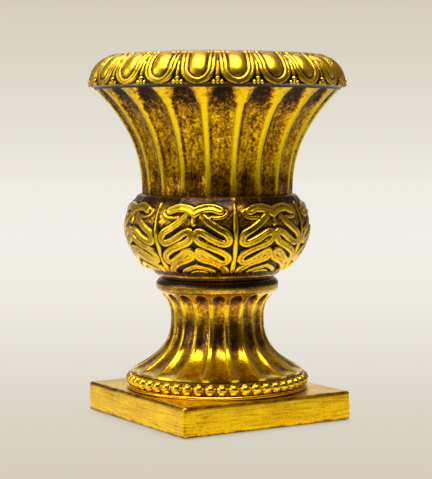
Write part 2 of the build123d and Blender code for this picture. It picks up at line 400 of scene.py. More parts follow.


# Gold leaf rubbed over a brown-black patina: the leaf wears through in the recesses, where the stored lift is
# low and the stored pit is high, and in blotches and specks. The pit darkening is partly painted shade in the
# recesses. The third stored field also darkens; it is mostly painted shade and painted dark reflection, with
# some real patina and edge wear.
def giltMaterial(name, finish):
    material, tree, shader = newMaterial(name)
    blotch = grainField(tree, finish["blotchScale"], detail=5)
    speck = grainField(tree, finish["speckScale"], detail=3, rough=0.7)
    streak = grainField(tree, finish["streakScale"], stretch=finish["streakStretch"], detail=4, rough=0.65)
    lift = stored(tree, "lift")
    pit = stored(tree, "pit")
    patinaAndShade = stored(tree, "patinaAndShade")

    low = calculate(tree, "MULTIPLY", calculate(tree, "SUBTRACT", 1.0, lift), finish["lowDark"])
    # pit darkening: patina in the recesses, and painted shade in them as well
    dark = calculate(tree, "MULTIPLY_ADD", pit, finish["pitDark"], low)
    # the third stored field: mostly painted shade and painted dark reflection, with some patina and edge wear
    dark = calculate(tree, "MULTIPLY_ADD", patinaAndShade, finish["patinaAndShadeDark"], dark)
    for field, share in ((blotch, "blotchDark"), (speck, "speckDark"), (streak, "streakDark")):
        centred = calculate(tree, "SUBTRACT", field, 0.5)
        dark = calculate(tree, "MULTIPLY_ADD", centred, finish[share], dark)
    dark = calculate(tree, "ADD", dark, finish["baseDark"], clamp=True)

    tree.links.new(rampOf(tree, dark, giltTones, "EASE"), shader.inputs["Base Color"])
    metal = rescale(tree, dark, 0.3, 1.0, finish["metal"], finish["metalLow"])
    tree.links.new(metal, shader.inputs["Metallic"])
    rough = rescale(tree, dark, 0.1, 0.9, finish["rough"], finish["roughLow"])
    uneven = calculate(tree, "SUBTRACT", speck, 0.5)
    rough = calculate(tree, "MULTIPLY_ADD", uneven, finish["unevenRough"], rough, clamp=True)
    tree.links.new(rough, shader.inputs["Roughness"])

    grain = calculate(tree, "MULTIPLY_ADD", streak, finish["streakBump"], speck)
    addBump(tree, shader, grain, finish["bump"], finish["bumpDepth"])
    shader.inputs["Coat Weight"].default_value = finish["varnish"]
    shader.inputs["Coat Roughness"].default_value = finish["varnishRough"]
    return material


giltFinish = {
    "blotchScale": 38, "speckScale": 620, "streakScale": 260, "streakStretch": (1, 1, 0.07),
    "lowDark": 0.35, "pitDark": 0.35, "patinaAndShadeDark": 0.6, "baseDark": 0.08,
    "blotchDark": 0.35, "speckDark": 0.5, "streakDark": 0.0,
    "metal": 1.0, "metalLow": 0.95, "rough": 0.2, "roughLow": 0.42, "unevenRough": 0.25,
    "streakBump": 0.0, "bump": 0.25, "bumpDepth": 0.3 * mm, "varnish": 0.15, "varnishRough": 0.22,
}


# the rim: an ovolo with an egg in each bay inside two loops, and darts and pearls between the eggs
rim = {
    "count": 21,
    "firstAngle": math.radians(6.8),
    "columns": 46,
    "lipRadius": 105.7 * mm, "lipHeight": 274.3 * mm,
    "crestRadius": 78 * mm, "crestHeight": 299.7 * mm,
    "mouthRadius": 72.1 * mm,
    "skirtRadius": 100.72 * mm, "skirtHeight": 270.6 * mm, "underside": 273.1 * mm,
    "skirtEdge": 3.9 * mm,                    # along the outline: the carving is measured from here
    "ground": 1.2 * mm,                       # how deep the field behind the eggs lies
    "fieldTop": 33 * mm,
    "eggWide": 6.9 * mm, "eggBottom": 4.4 * mm, "eggRise": 2.4 * mm, "eggFade": (24 * mm, 34 * mm),
    # half width, bottom, thickness and rise of each loop round the egg
    "loops": ((8.9 * mm, 2.7 * mm, 1.75 * mm, 1.6 * mm), (12.0 * mm, 0.7 * mm, 1.7 * mm, 1.4 * mm)),
    "loopSpring": 12.5 * mm,                  # the loops are round below this and straight above
    "dartWide": 1.1 * mm, "dartRise": 1.3 * mm, "dartTip": (23 * mm, 9 * mm), "dartFoot": (5 * mm, 7 * mm),
    # how far aside of the dart, how far up, and radius of each pearl
    "pearls": ((0, 3.8 * mm, 1.8 * mm), (0, 0.9 * mm, 1.5 * mm), (3.1 * mm, 0.9 * mm, 1.5 * mm)),
    "crestRise": 0.9 * mm, "crestFade": (30 * mm, 36 * mm),
    "lipFade": (-2.0 * mm, -0.4 * mm),
    "wobble": 0.5 * mm, "ripple": 0.1 * mm,
}


def rimOutline(spec):
    lip = (spec["lipRadius"], spec["lipHeight"])
    ovolo = quarterEllipse((spec["crestRadius"], lip[1]), lip[0] - spec["crestRadius"],
                           spec["crestHeight"] - lip[1], 0, 90)
    outside = evenly([(101.9 * mm, 272.3 * mm), (105.6 * mm, 273.3 * mm), lip], 5)[:-1]
    outside = np.vstack([outside, evenly(ovolo, 62)])
    mouth = [(75 * mm, spec["crestHeight"]), (73.3 * mm, 299.2 * mm), (72.4 * mm, 298.2 * mm)]
    mouth += [(spec["mouthRadius"], height * mm) for height in (297, 294, 290.6)]
    inside = quarterEllipse((spec["mouthRadius"], spec["underside"]), 24.6 * mm, 17.4 * mm, 82, 0, 9)
    seat = [(spec["skirtRadius"], spec["underside"]), (spec["skirtRadius"], spec["skirtHeight"])]
    return np.vstack([outside, mouth, inside, seat]), len(outside)


def rimRelief(angles, rows):
    x = np.abs(np.radians(angles)) * rows["radius"]
    y = rows["walked"] - rim["skirtEdge"]
    half = math.pi / rim["count"] * rows["radius"]
    field = ramp(y, -1.6 * mm, 0.6 * mm) * (1 - ramp(y, rim["fieldTop"] - 3.5 * mm, rim["fieldTop"]))
    below = np.minimum(y - rim["loopSpring"], 0)
    under = below * rim["eggWide"] / (rim["loopSpring"] - rim["eggBottom"])
    egg = dome(np.hypot(x, under), rim["eggWide"]) ** 1.2 * rim["eggRise"]
    rise = egg * (1 - 0.4 * ramp(y, *rim["eggFade"]))
    for wide, bottom, thick, high in rim["loops"]:
        under = below * wide / (rim["loopSpring"] - bottom)
        loop = dome(np.hypot(x, under) - wide, thick) ** 1.3 * high
        rise = np.maximum(rise, loop)
    side = half - x                           # how far from the dart's middle
    taper = rim["dartWide"] * (0.35 + 0.65 * ramp(y, *rim["dartTip"]))
    dart = dome(side, taper * 1.4) * rim["dartRise"] * ramp(y, *rim["dartFoot"])
    rise = np.maximum(rise, dart)
    for aside, place, size in rim["pearls"]:
        pearl = dome(np.hypot(side - aside, y - place), size * 1.1) * size * 1.25
        rise = np.maximum(rise, pearl)
    level = rim["crestRise"] * ramp(y, 18 * mm, rim["fieldTop"])
    rise = np.maximum(rise, level) * (1 - ramp(y, *rim["crestFade"])) - rim["ground"] * field
    rise = rise * ramp(y, *rim["lipFade"])
    # patina on the sunk field; painted shade under the lip, and a painted dim reflection darkening towards
    # the crest
    patinaAndShade = 0.5 * field * (1 - ramp(rise, -1.2 * mm, -0.6 * mm)) * (1 - 0.7 * ramp(y, 18 * mm, 30 * mm))
    patinaAndShade = patinaAndShade + 0.9 * (1 - ramp(y, -1.6 * mm, 0.2 * mm)) + 0.3 * ramp(y, 31 * mm, 37 * mm)
    return rise, patinaAndShade


rimPolish = {**giltFinish, "rough": 0.32, "varnish": 0.5, "varnishRough": 0.3, "lowDark": 0.42,
             "pitDark": 0.4, "blotchDark": 0.8, "speckDark": 0.4, "baseDark": 0.1, "blotchScale": 60}


def makeRim():
    material = giltMaterial("rimGilt", rimPolish)
    piece = turnedPiece("eggAndDartRim", rim, rimOutline(rim), rimRelief, material)
    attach(piece, "root")
    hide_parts("rim")


makeRim()
print("rim made")


# the bell: a bay is one ridge with half a round-headed flute on each side
bell = {
    "count": 19,
    "firstAngle": math.radians(3.8),
    "columns": 30,
    "rows": 96,
    "footRadius": 62.3 * mm, "lipRadius": 100.4 * mm,
    "low": 186 * mm, "high": 271 * mm,
    "flarePower": 2.3,
    "boreRadius": 54.8 * mm, "boreLip": 96.7 * mm, "borePower": 2.4,
    "spigotRadius": 57.5 * mm, "spigotLow": 180.1 * mm, "lipTop": 272.9 * mm,
    "ridgeShare": 0.15,                       # half the ridge's width, as a share of half a bay
    "deep": 3.3 * mm,                         # the flutes, deeper up the wall than at its foot
    "deepAtFoot": 1.3 * mm,
    "deepens": (188 * mm, 202 * mm), "shallows": (250 * mm, 268 * mm),
    "archSpring": 258 * mm, "archTop": 275 * mm,
    # painted shade on the steep side of a flute, more on one side than on the other, as the light falls from
    # one side
    "wallAt": 0.27, "wallWide": 0.12, "wallShade": (0.1, 0.45), "wallStart": (196 * mm, 212 * mm),
    "wobble": 1.0 * mm, "ripple": 0.25 * mm,
}


def flared(share, low, high, power, bottom, top):
    # radius and height of a wall that opens from low to high by a power of the way up
    return np.column_stack([low + (high - low) * share ** power, bottom + (top - bottom) * share])


def bellOutline(spec):
    share = np.linspace(0, 1, 80)
    side = flared(share, spec["footRadius"], spec["lipRadius"], spec["flarePower"], spec["low"], spec["high"])
    outside = evenly(side, spec["rows"])
    top = [(spec["lipRadius"], spec["lipTop"]), (spec["boreLip"], spec["lipTop"])]
    inner = flared(share[::-8], spec["boreRadius"], spec["boreLip"], spec["borePower"],
                   spec["low"], spec["high"])
    spigot = [(spec["boreRadius"], spec["spigotLow"]), (spec["spigotRadius"], spec["spigotLow"]),
              (spec["spigotRadius"], spec["low"])]
    return np.vstack([outside, top, inner, spigot]), len(outside)


def bellRelief(angles, rows):
    half = 180 / bell["count"]
    share = np.abs(angles) / half             # 0 on the ridge, 1 in the middle of a flute
    across = np.clip((share - bell["ridgeShare"]) / (1 - bell["ridgeShare"]), 0, 1)
    height = rows["height"]
    scoop = (1 - (1 - across) ** 2.4) ** 0.66
    crown = 1 - (np.clip(share / bell["ridgeShare"], 0, 1) ** 2) * 0.12
    depth = bell["deepAtFoot"] + (bell["deep"] - bell["deepAtFoot"]) * ramp(height, *bell["deepens"])
    depth = depth * (1 - 0.25 * ramp(height, *bell["shallows"]))
    # round flute heads: inside an arch the flute stays deep, above it the surface comes back out
    archHigh = bell["archTop"] - bell["archSpring"]
    rising = np.clip((height - bell["archSpring"]) / archHigh, 0, 2)
    inArch = 1 - ramp(np.hypot((1 - share) / (1 - bell["ridgeShare"]), rising), 0.6, 1.08)
    head = np.where(height > bell["archSpring"], inArch, 1.0)
    rise = -depth * scoop * head - (1 - crown) * 0.8 * mm
    flute = scoop * head
    wall = np.exp(-((share - bell["wallAt"]) / bell["wallWide"]) ** 2)
    less, more = bell["wallShade"]
    wall = wall * np.where(angles > 0, more, less) * ramp(height, *bell["wallStart"])
    # painted shade in the flute heads and in a band under the rim, and a painted dark reflection of the room
    # in a band above the bowl
    patinaAndShade = wall + 0.8 * flute * ramp(height, 248 * mm, 264 * mm) + 0.2 * ramp(height, 262 * mm, 270 * mm)
    patinaAndShade = patinaAndShade + 0.42 * (1 - ramp(height, 192 * mm, 209 * mm))
    patinaAndShade = patinaAndShade + 0.35 * (1 - ramp(height, 187 * mm, 195 * mm))
    return rise, patinaAndShade


bellRub = {**giltFinish, "rough": 0.36, "roughLow": 0.5, "lowDark": 0.44, "pitDark": 0.2, "patinaAndShadeDark": 0.62,
           "blotchDark": 0.75, "speckDark": 1.3, "streakDark": 0.9, "baseDark": 0.0, "blotchScale": 120,
           "speckScale": 450, "streakStretch": (1, 1, 0.16), "streakBump": 1.2,
           "bump": 0.5, "bumpDepth": 0.4 * mm, "varnish": 0.08}


def makeBell():
    material = giltMaterial("bellGilt", bellRub)
    piece = turnedPiece("flutedBell", bell, bellOutline(bell), bellRelief, material)
    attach(piece, "root")
    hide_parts("bell")


makeBell()
print("bell made")


# the bowl: a bay is one acanthus leaf, whose folded edges are strokes laid on both sides of a midrib
bowl = {
    "count": 7,
    "firstAngle": math.radians(43.65),
    "columns": 100,
    "rows": 118,
    "neckRadius": 46.6 * mm, "bellyRadius": 77.4 * mm, "topRadius": 62.2 * mm,
    "low": 118 * mm, "belly": 158 * mm, "high": 186 * mm,
    "lowerRound": 1.7, "upperRound": 1.6,
    "ground": 2.4 * mm,                       # how deep the field behind the leaves lies
    "undercut": 1.8 * mm,                     # how much the bottom of the leaves draws in
    "drawnIn": (118.4 * mm, 119.6 * mm), "backOut": (120 * mm, 126 * mm),
    "midribWide": 2.3 * mm, "midribRise": 2.5 * mm,
    "midribTaper": (184 * mm, 164 * mm), "midribEnd": (179 * mm, 185 * mm),
    "leafStart": (119.6 * mm, 122.6 * mm), "leafEnd": (180 * mm, 184 * mm),
    "fieldStart": (119.2 * mm, 121.5 * mm), "fieldEnd": (179.5 * mm, 185.4 * mm),
    "shallowFrom": (158 * mm, 166 * mm), "shallow": 1.3 * mm,    # the field comes forward up here
    "tooled": 0.16 * mm, "toolStep": (0.75 * mm, 0.8 * mm), "toolEnd": (172 * mm, 176 * mm),
    # painted shade along the bottom edge and over the shoulder under the bell
    "edgeDark": 0.25, "edgeEnd": (120 * mm, 128 * mm),
    "shoulderShade": 0.62, "shoulderStart": (178 * mm, 181.5 * mm),
    "shoulder": 177.5 * mm, "ridgeShare": 0.2, "ridgeRise": 0.6 * mm,
    "wobble": 1.8 * mm, "ripple": 0.6 * mm,
}
# each stroke's half width, rise and vein, and its path: degrees out from the midrib, mm up the urn
leafStrokes = {
    "foldedEdge": (3.4 * mm, 2.5 * mm, 0.2 * mm, (
        (-20.4, 170.3), (-15.7, 165.3), (-9.7, 159.9), (-6.0, 157.0), (-4.1, 153.6), (-4.0, 150.2),
        (-6.0, 148.2), (-9.7, 149.2), (-15.0, 152.6), (-19.5, 156.6), (-22.6, 157.8), (-24.2, 155.9),
        (-23.9, 152.6), (-21.4, 149.0), (-15.7, 145.9), (-9.7, 142.7), (-6.0, 140.0), (-4.2, 137.2),
        (-4.2, 134.6), (-6.2, 132.9), (-9.7, 133.7), (-15.0, 137.4), (-19.6, 141.2), (-22.4, 142.3),
        (-24.0, 140.4), (-23.0, 137.0), (-19.5, 134.9), (-14.7, 133.0), (-9.7, 130.2), (-5.6, 126.4),
        (-4.6, 121.4))),
    "topCurl": (4.3 * mm, 3.6 * mm, 0.5 * mm, (
        (-26.5, 172.6), (-22.0, 175.6), (-15.0, 176.8), (-9.5, 174.6))),
    "hook": (1.6 * mm, 2.3 * mm, 0, (
        (-10.5, 174.9), (-6.2, 175.2), (-4.9, 172.6), (-7.2, 169.9), (-11.4, 168.9), (-15.0, 169.2))),
    "stem": (2.0 * mm, 2.2 * mm, 0, (
        (-25.7, 174.0), (-25.4, 168.0), (-25.7, 164.6))),
    "upperLobe": (2.2 * mm, 2.0 * mm, 0.3 * mm, (
        (-26.5, 129.6), (-20.5, 127.6), (-15.0, 124.8), (-13.2, 120.4))),
    "lowerLobe": (2.2 * mm, 2.0 * mm, 0.3 * mm, (
        (-26.5, 124.8), (-21.6, 123.4), (-19.4, 120.2))),
}


def bowlOutline(spec):
    # two quarters of a full-bodied ellipse: the lower rounder than the upper
    height = np.linspace(0, 1, 60)
    lower = (1 - (1 - height) ** spec["lowerRound"]) ** (1 / spec["lowerRound"])
    upper = (1 - height ** spec["upperRound"]) ** (1 / spec["upperRound"])
    side = np.vstack([
        np.column_stack([spec["neckRadius"] + (spec["bellyRadius"] - spec["neckRadius"]) * lower,
                         spec["low"] + (spec["belly"] - spec["low"]) * height]),
        np.column_stack([spec["topRadius"] + (spec["bellyRadius"] - spec["topRadius"]) * upper,
                         spec["belly"] + (spec["high"] - spec["belly"]) * height])[1:]])
    outside = evenly(side, spec["rows"])
    inside = [(57.8, 186.0), (57.8, 182), (57.8, 179.9), (64, 174.5), (69.5, 168.5), (72.6, 162), (73, 155),
              (71, 148), (66.5, 140.5), (59.5, 133), (51, 128), (42.3, 126.1), (25, 126.0), (4.6, 126.0),
              (4.6, 121.1), (30.1, 121.1), (30.1, 118.05)]
    return np.vstack([outside, np.array(inside) * mm]), len(outside)


def bandShape(gap, wide, high, vein):
    # a flat band with rounded edges, and a shallow hollow along its middle
    band = np.clip(1 - np.clip(gap / wide, 0, 1) ** 5.5, 0, 1) ** 0.7
    return band * high - vein * np.exp(-(gap / (0.36 * wide)) ** 2)


def bowlRelief(angles, rows):
    height = rows["height"]
    x = -np.abs(angles) * (math.pi / 180 * rows["radius"])
    y = rows["walked"] + 0 * x
    heights, steps, radii = (rows[key][0] for key in ("height", "walked", "radius"))

    def placed(points):
        # a path on the bay's own grid, in metres round and along the surface
        points = curveThrough(points, 6)
        up = points[:, 1] * mm
        return np.column_stack([points[:, 0] * math.pi / 180 * np.interp(up, heights, radii),
                                np.interp(up, heights, steps)])

    strokes = [bandShape(toPath(x, y, placed(path)), wide, high, vein)
               for wide, high, vein, path in leafStrokes.values()]
    narrow = 0.35 + 0.65 * ramp(height, *bowl["midribTaper"])
    rib = dome(x, bowl["midribWide"] * narrow) * bowl["midribRise"] * (1 - ramp(height, *bowl["midribEnd"]))
    rise = np.max([*strokes, rib], axis=0)
    shallow = ramp(height, *bowl["shallowFrom"])
    rise = np.maximum(rise, bowl["shallow"] * shallow)
    # fine tooling on the field behind the top curls
    acrossStep, upStep = bowl["toolStep"]
    tooled = bowl["tooled"] * np.sin(x / acrossStep) * np.sin(y / upStep)
    behind = shallow * (1 - ramp(height, *bowl["toolEnd"])) * (1 - ramp(rise, 1.4 * mm, 1.8 * mm))
    rise = np.maximum(rise, 0) * (1 - ramp(height, *bowl["leafEnd"])) * ramp(height, *bowl["leafStart"])
    field = ramp(height, *bowl["fieldStart"]) * (1 - ramp(height, *bowl["fieldEnd"]))
    rise = rise + tooled * behind - bowl["ground"] * field
    drawnIn = ramp(height, *bowl["drawnIn"]) * (1 - ramp(height, *bowl["backOut"]))
    rise = rise - bowl["undercut"] * drawnIn
    # patina on the sunk field, painted shade along the bottom edge where the collar meets it, and painted
    # shade over the bare shoulder under the bell's flare
    onField = 0.26 * (1 - ramp(rise, -2.2 * mm, -1.0 * mm)) * (1 - 0.5 * shallow)
    patinaAndShade = onField + bowl["edgeDark"] * (1 - ramp(height, *bowl["edgeEnd"]))
    patinaAndShade = patinaAndShade + bowl["shoulderShade"] * ramp(height, *bowl["shoulderStart"])
    return rise, patinaAndShade


leafPolish = {**giltFinish, "rough": 0.25, "roughLow": 0.4, "lowDark": 0.42, "pitDark": 0.5,
              "blotchDark": 0.9, "speckDark": 0.9, "baseDark": 0.17, "bump": 0.35, "blotchScale": 60,
              "varnish": 0.35}


def carryRidges(piece):
    # the bell's ridges run on down over the bowl's bare shoulder, between the leaf tips
    step = math.tau / bell["count"]
    mesh = piece.data
    patinaAndShade, lift = mesh.attributes["patinaAndShade"].data, mesh.attributes["lift"].data
    for index, vertex in enumerate(mesh.vertices):
        place = vertex.co
        radius = math.hypot(place.x, place.y)
        if place.z < bowl["shoulder"] or radius < bowl["topRadius"] - 3 * mm:
            continue
        turn = (math.atan2(place.y, place.x) - bell["firstAngle"]) / step
        share = abs(turn - round(turn)) * 2
        ridge = math.exp(-(share / bowl["ridgeShare"]) ** 2)
        ridge *= float(ramp(place.z, bowl["shoulder"], bowl["shoulder"] + 4 * mm))
        outward = 1 + ridge * bowl["ridgeRise"] / radius
        place.x *= outward
        place.y *= outward
        patinaAndShade[index].value *= 1 - 0.3 * ridge
        lift[index].value = max(lift[index].value, 0.6 * ridge)


def makeBowl():
    material = giltMaterial("leafGilt", leafPolish)
    piece = turnedPiece("acanthusBowl", bowl, bowlOutline(bowl), bowlRelief, material)
    carryRidges(piece)
    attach(piece, "root")
    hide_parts("bowl")


makeBowl()
print("bowl made")


# the collar: a plain torus between foot and bowl
collar = {
    "count": 19,
    "firstAngle": 0.1,
    "columns": 8,
    "footRadius": 48.9 * mm, "bulgeRadius": 50.8 * mm, "seatRadius": 46.6 * mm,
    "low": 105.5 * mm, "bulge": 109.8 * mm, "high": 118 * mm,
    "wobble": 0.5 * mm, "ripple": 0.12 * mm,
}


def collarOutline(spec):
    torus = curveThrough([
        (spec["footRadius"], spec["low"]), (50.3 * mm, 107 * mm), (spec["bulgeRadius"], spec["bulge"]),
        (50.4 * mm, 112.6 * mm), (48.6 * mm, 115.2 * mm), (46.4 * mm, 116.6 * mm),
        (spec["seatRadius"], spec["high"])])
    outside = evenly(torus, 26)
    inside = [(29.8, 118.0), (29.8, 121), (4.7, 121), (4.7, 100.7), (33.6, 100.7), (33.6, 105.5)]
    return np.vstack([outside, np.array(inside) * mm]), len(outside)


def collarRelief(angles, rows):
    rise = 0 * angles * rows["radius"]        # no carving, only painted shade above and below the bulge, where the bowl and the foot meet it
    height = rows["height"]
    patinaAndShade = 0.9 * ramp(height, 110.5 * mm, 113 * mm) + 0.2 * (1 - ramp(height, 105.6 * mm, 107 * mm))
    return rise, patinaAndShade


collarSatin = {**giltFinish, "rough": 0.26, "lowDark": 0.0, "baseDark": 0.36, "blotchDark": 1.2,
               "speckDark": 1.0, "bump": 0.3, "varnish": 0.5}


def makeCollar():
    material = giltMaterial("collarGilt", collarSatin)
    piece = turnedPiece("plainCollar", collar, collarOutline(collar), collarRelief, material)
    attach(piece, "root")
    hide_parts("collar")


makeCollar()
print("collar made")


# the foot: a trumpet whose flutes run out at the base and end in round heads under the collar
foot = {
    "count": 19,
    "firstAngle": math.radians(3.2),
    "columns": 26,
    "edgeRadius": 70.6 * mm, "waistRadius": 38.7 * mm, "topRadius": 48.9 * mm,
    "edge": 38.3 * mm, "waist": 84.5 * mm, "top": 105.5 * mm,
    "baseFillet": 1.8 * mm, "flarePower": 2.8, "neckPower": 2.3,
    "ridgeShare": 0.2,                        # half the ridge's width, as a share of half a bay
    "deep": 2.3 * mm, "deepens": (38 * mm, 44 * mm),
    "archSpring": 97.5 * mm, "archTop": 104.2 * mm,
    "wobble": 0.6 * mm, "ripple": 0.2 * mm,
}


def footOutline(spec):
    share = np.linspace(0, 1, 60)
    flare = flared(1 - share, spec["waistRadius"], spec["edgeRadius"], spec["flarePower"],
                   spec["waist"], spec["edge"] + spec["baseFillet"])
    neck = flared(share, spec["waistRadius"], spec["topRadius"], spec["neckPower"],
                  spec["waist"], spec["top"])
    lip = [(spec["edgeRadius"], spec["edge"])]
    outside = np.vstack([lip, evenly(np.vstack([flare, neck[1:]]), 92)])
    inside = [(34, 105.5), (34, 95), (34, 80), (34, 70), (35.5, 62), (39.5, 53), (46, 45.5), (54, 39.5),
              (61.6, 36.2), (61.8, 25.1), (66.7, 25.1), (66.7, 38.2)]
    return np.vstack([outside, np.array(inside) * mm]), len(outside)


def footRelief(angles, rows):
    half = 180 / foot["count"]
    share = np.abs(angles) / half
    across = np.clip((share - foot["ridgeShare"]) / (1 - foot["ridgeShare"]), 0, 1)
    height = rows["height"]
    scoop = (1 - (1 - across) ** 2.2) ** 0.8
    rising = np.clip((height - foot["archSpring"]) / (foot["archTop"] - foot["archSpring"]), 0, 2)
    inArch = 1 - ramp(np.hypot((1 - share) / (1 - foot["ridgeShare"]), rising), 0.84, 1.05)
    head = np.where(height > foot["archSpring"], inArch, 1.0)
    deep = foot["deep"] * ramp(height, *foot["deepens"]) * (0.85 + 0.35 * ramp(height, 92 * mm, 100 * mm))
    flute = scoop * head
    rise = -deep * flute
    # painted shade in the flute heads under the collar, and a painted dark reflection of the room round the
    # waist
    waist = ramp(height, 58 * mm, 64 * mm) * (1 - ramp(height, 77 * mm, 90 * mm))
    patinaAndShade = 0.4 * flute * ramp(height, 93 * mm, 101 * mm) + 0.5 * waist * (0.6 + 0.4 * flute)
    patinaAndShade = patinaAndShade + 0.2 * ramp(height, 80 * mm, 90 * mm)
    return rise, patinaAndShade


footPolish = {**giltFinish, "rough": 0.2, "roughLow": 0.34, "lowDark": 0.28, "pitDark": 0.3, "patinaAndShadeDark": 0.7,
              "blotchDark": 1.0, "speckDark": 1.0, "streakDark": 0.5, "baseDark": 0.08, "blotchScale": 80,
              "speckScale": 450, "varnish": 0.35, "varnishRough": 0.15}


def makeFoot():
    material = giltMaterial("footGilt", footPolish)
    piece = turnedPiece("trumpetFoot", foot, footOutline(foot), footRelief, material)
    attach(piece, "root")
    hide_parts("foot")


makeFoot()
print("foot made")


# the bead ring: a bay is a stretch of plain band with a fillet at its foot, and one ball on it
beads = {
    "count": 48,
    "firstAngle": math.radians(1.1),
    "circle": 71.3 * mm,
    "radius": 4.75 * mm,
    "middle": 32.3 * mm,
    "steps": 14,
    "bandColumns": 7,
    "bandLift": 0.35, "filletLift": 0.9, "filletFrom": 72,       # how golden each is (the band behind the balls is kept dark as painted shade), and mm out
    "wobble": 0.6 * mm, "ripple": 0.25 * mm,
}


def makeBeadBay(spec):
    vertices, faces = [], []
    steps = spec["steps"]

    def addGrid(points, wrapRows):
        start = len(vertices)
        wide, tall = len(points), len(points[0])
        for column in points:
            vertices.extend(column)
        for column in range(wide - 1):
            for row in range(tall if wrapRows else tall - 1):
                up = (row + 1) % tall
                left, right = start + column * tall, start + (column + 1) * tall
                faces.append((left + row, right + row, right + up, left + up))

    outline = [(67.0, 25.05), (74.6, 25.05), (75.3, 25.5), (75.4, 26.3), (75.0, 27.1), (74.2, 27.6),
               (71.2, 27.9), (70.9, 33), (70.6, 37.6), (67.0, 37.9)]
    half = math.pi / spec["count"]
    addGrid([[(radius * mm * math.cos(angle), radius * mm * math.sin(angle), height * mm)
              for radius, height in outline]
             for angle in np.linspace(-half, half, spec["bandColumns"])], True)
    lift = [spec["filletLift"] if radius > spec["filletFrom"] else spec["bandLift"]
            for _ in range(spec["bandColumns"]) for radius, height in outline]
    turns = np.linspace(0, math.tau, 2 * steps)
    ball = []
    for turn in turns:
        column = []
        for tilt in np.linspace(-math.pi / 2, math.pi / 2, steps):
            across = spec["radius"] * math.cos(tilt)
            column.append((spec["circle"] + across * math.cos(turn), across * math.sin(turn),
                           spec["middle"] + spec["radius"] * math.sin(tilt)))
        ball.append(column)
    addGrid(ball, False)
    # the balls' inner sides, against the band, are painted dark as shade
    lift += [0.0 if math.cos(turn) < -0.2 else 1.0 for turn in turns for _ in range(steps)]
    mesh = bpy.data.meshes.new("beadBay")
    mesh.from_pydata(vertices, [], faces)
    storeFields(mesh, {"lift": lift, "pit": [0.0] * len(lift), "patinaAndShade": [0.3 * (1 - value) for value in lift]})
    return newPiece("beadBay", mesh)


beadPolish = {**giltFinish, "rough": 0.22, "lowDark": 0.45, "speckDark": 0.6, "blotchDark": 0.5,
              "varnish": 0.5}


def makeBeads():
    piece = repeatBay(makeBeadBay(beads), "beadRing", giltMaterial("beadGilt", beadPolish), beads)
    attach(piece, "root")
    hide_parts("foot_bead_ring")


makeBeads()
print("beads made")


# the plinth: the plain block, gone over by hand and rubbed bare along its edges
plinth = {
    "cell": 1.3 * mm,
    "wave": 0.5 * mm, "waveScale": 16.0,      # the casting's slow unevenness
    "dent": 0.25 * mm, "dentScale": 90.0,
    "wearWide": 1.1 * mm,                     # the leaf is rubbed off this near an edge
    "edgeRound": 0.6 * mm,
    "raggedScale": 130, "fineScale": 400,
    "edgeDark": 0.95, "footDark": 0.8, "footBand": 0.6 * mm,
}
plinthSatin = {**giltFinish, "rough": 0.32, "roughLow": 0.5, "lowDark": 0.0, "baseDark": 0.2,
               "blotchDark": 0.4, "streakScale": 90, "streakStretch": (0.4, 0.4, 9), "streakDark": 0.9,
               "streakBump": 1.0, "bump": 0.35, "varnish": 0.12}


def mergedCopy(node, name):
    # the frame's own piece as a new one, with its loose triangles joined
    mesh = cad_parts[node].data.copy()
    mesh.name = name
    shape = bmesh.new()
    shape.from_mesh(mesh)
    bmesh.ops.remove_doubles(shape, verts=shape.verts, dist=0.01 * mm)
    shape.to_mesh(mesh)
    shape.free()
    return newPiece(name, mesh)


def softened(piece, cell):
    # an even grid over the piece with its corners eased, as a plain mesh
    remesh = piece.modifiers.new("remesh", "REMESH")
    remesh.mode = "VOXEL"
    remesh.voxel_size = cell
    smooth = piece.modifiers.new("smooth", "SMOOTH")
    smooth.factor = 0.5
    smooth.iterations = 3
    bpy.context.view_layer.update()
    graph = bpy.context.evaluated_depsgraph_get()
    mesh = bpy.data.meshes.new_from_object(piece.evaluated_get(graph))
    piece.modifiers.clear()
    piece.data = mesh
    return mesh


def makePlinth(spec):
    piece = mergedCopy("plinth", "castPlinth")
    mesh = softened(piece, spec["cell"])
    low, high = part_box("plinth")
    middle = (low + high) / 2
    half = (high - low) / 2
    patinaAndShade = []
    for vertex in mesh.vertices:
        place = vertex.co - middle
        gaps = sorted((half.x - abs(place.x), half.y - abs(place.y), half.z - abs(place.z)))
        wave = noise.noise(vertex.co * spec["waveScale"]) * spec["wave"]
        dent = noise.noise(vertex.co * spec["dentScale"]) * spec["dent"]
        inward = wave + dent - 0.6 * (spec["wave"] + spec["dent"])
        # sides move along their own axis and the top moves along Z; the underside stays flat
        out = Vector((place.x / half.x, place.y / half.y, 0))
        out = Vector([axis if abs(axis) > 0.9 else 0 for axis in out])
        up = 1 if half.z - place.z < 3 * mm else 0
        vertex.co += (out + Vector((0, 0, up))) * inward
        ragged = (1 + 0.8 * noise.noise(vertex.co * spec["raggedScale"])
                  + 0.5 * noise.noise(vertex.co * spec["fineScale"]))
        toEdge = gaps[0] + gaps[1] - spec["edgeRound"]
        edge = math.exp(-(toEdge / (spec["wearWide"] * max(ragged, 0.2))) ** 2)
        # a darker thin band along the bottom edge
        under = spec["footDark"] if place.z < -half.z + spec["footBand"] else 0.0
        patinaAndShade.append(min(1.0, spec["edgeDark"] * edge + under))
    storeFields(mesh, {"lift": [1.0] * len(patinaAndShade), "pit": [0.0] * len(patinaAndShade), "patinaAndShade": patinaAndShade})
    shadeSmooth(mesh)
    mesh.materials.clear()
    mesh.materials.append(giltMaterial("plinthGilt", plinthSatin))
    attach(piece, "root")
    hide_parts("plinth")


makePlinth(plinth)
print("plinth made")


